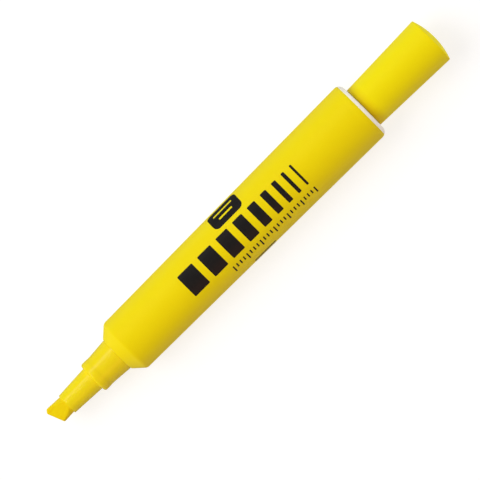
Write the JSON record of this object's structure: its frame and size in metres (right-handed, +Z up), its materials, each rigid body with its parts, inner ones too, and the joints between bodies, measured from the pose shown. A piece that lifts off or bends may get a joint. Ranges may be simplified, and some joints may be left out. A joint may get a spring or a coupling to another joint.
{
  "type": "highlighter",
  "caption": "Uncapped desk highlighter with a chisel nib, a tapered round barrel and its flared cap posted on the rear plug; the cap pulls off.",
  "frame": {"origin": "on the surface that the marker lies on, under the middle of the object", "axes": "+X runs along the marker from the nib to the posted cap, +Z is up, and the barrel's lowest side lies on z = 0, so its axis rises 0.57 degrees towards +X"},
  "size_m": [0.1492, 0.019, 0.019],
  "materials": {
    "yellow_plastic": "satin fluorescent yellow polypropylene",
    "gloss_yellow_plastic": "glossy fluorescent yellow polypropylene",
    "white_plastic": "satin white polypropylene",
    "inked_felt": "porous bonded fibre, wet with yellow ink",
    "inked_fibre": "polyester fibre bundle soaked with yellow ink",
    "clear_film": "thin clear film",
    "clear_tube": "translucent extruded tube",
    "soft_liner": "soft natural polyethylene"
  },
  "bodies": {
    "marker": {"barrel": "yellow_plastic", "nib_holder": "gloss_yellow_plastic", "nib": "inked_felt", "ink_reservoir": "inked_fibre", "reservoir_wrap": "clear_film", "breather_tube": "clear_tube", "end_plug": "white_plastic"},
    "cap": {"cap": "yellow_plastic", "cap_liner": "soft_liner"}
  },
  "joints": [
    {"name": "cap_pull", "type": "slide", "parent": "marker", "child": "cap", "axis": [1, 0, 0.0099], "range_m": [0, 0.04]}
  ]
}
